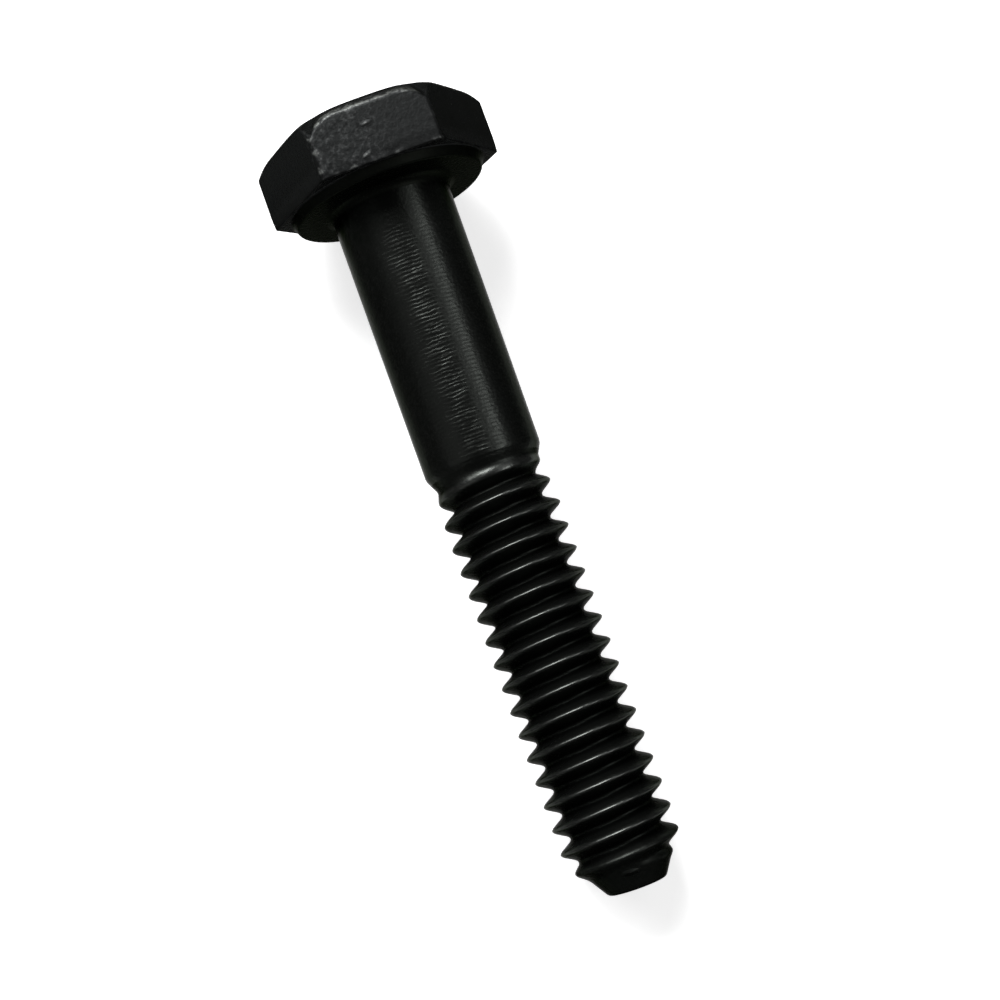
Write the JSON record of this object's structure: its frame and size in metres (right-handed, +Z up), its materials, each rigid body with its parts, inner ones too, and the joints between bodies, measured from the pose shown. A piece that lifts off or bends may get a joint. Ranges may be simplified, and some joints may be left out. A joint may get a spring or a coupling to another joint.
{
  "type": "hex head cap screw",
  "caption": "Black oxide steel hex head cap screw: chamfered head with a washer face, plain shank, shoulder and coarse right-hand thread that ends in a chamfered point.",
  "frame": {"origin": "on the ground under the middle of the screw's box, with the screw lying on the foot of the lower flat of its head and on the last full crest of its thread", "axes": "+X from the head to the point, along the ground; +Z up, away from the ground; +Y to the side. The screw's own axis slopes down to the point by 3.735 degrees"},
  "size_m": [0.0426, 0.0128, 0.0111],
  "materials": {
    "black_oxide_steel": "black oxide, oiled satin"
  },
  "bodies": {
    "root": {"cap_screw": "black_oxide_steel"}
  },
  "joints": []
}
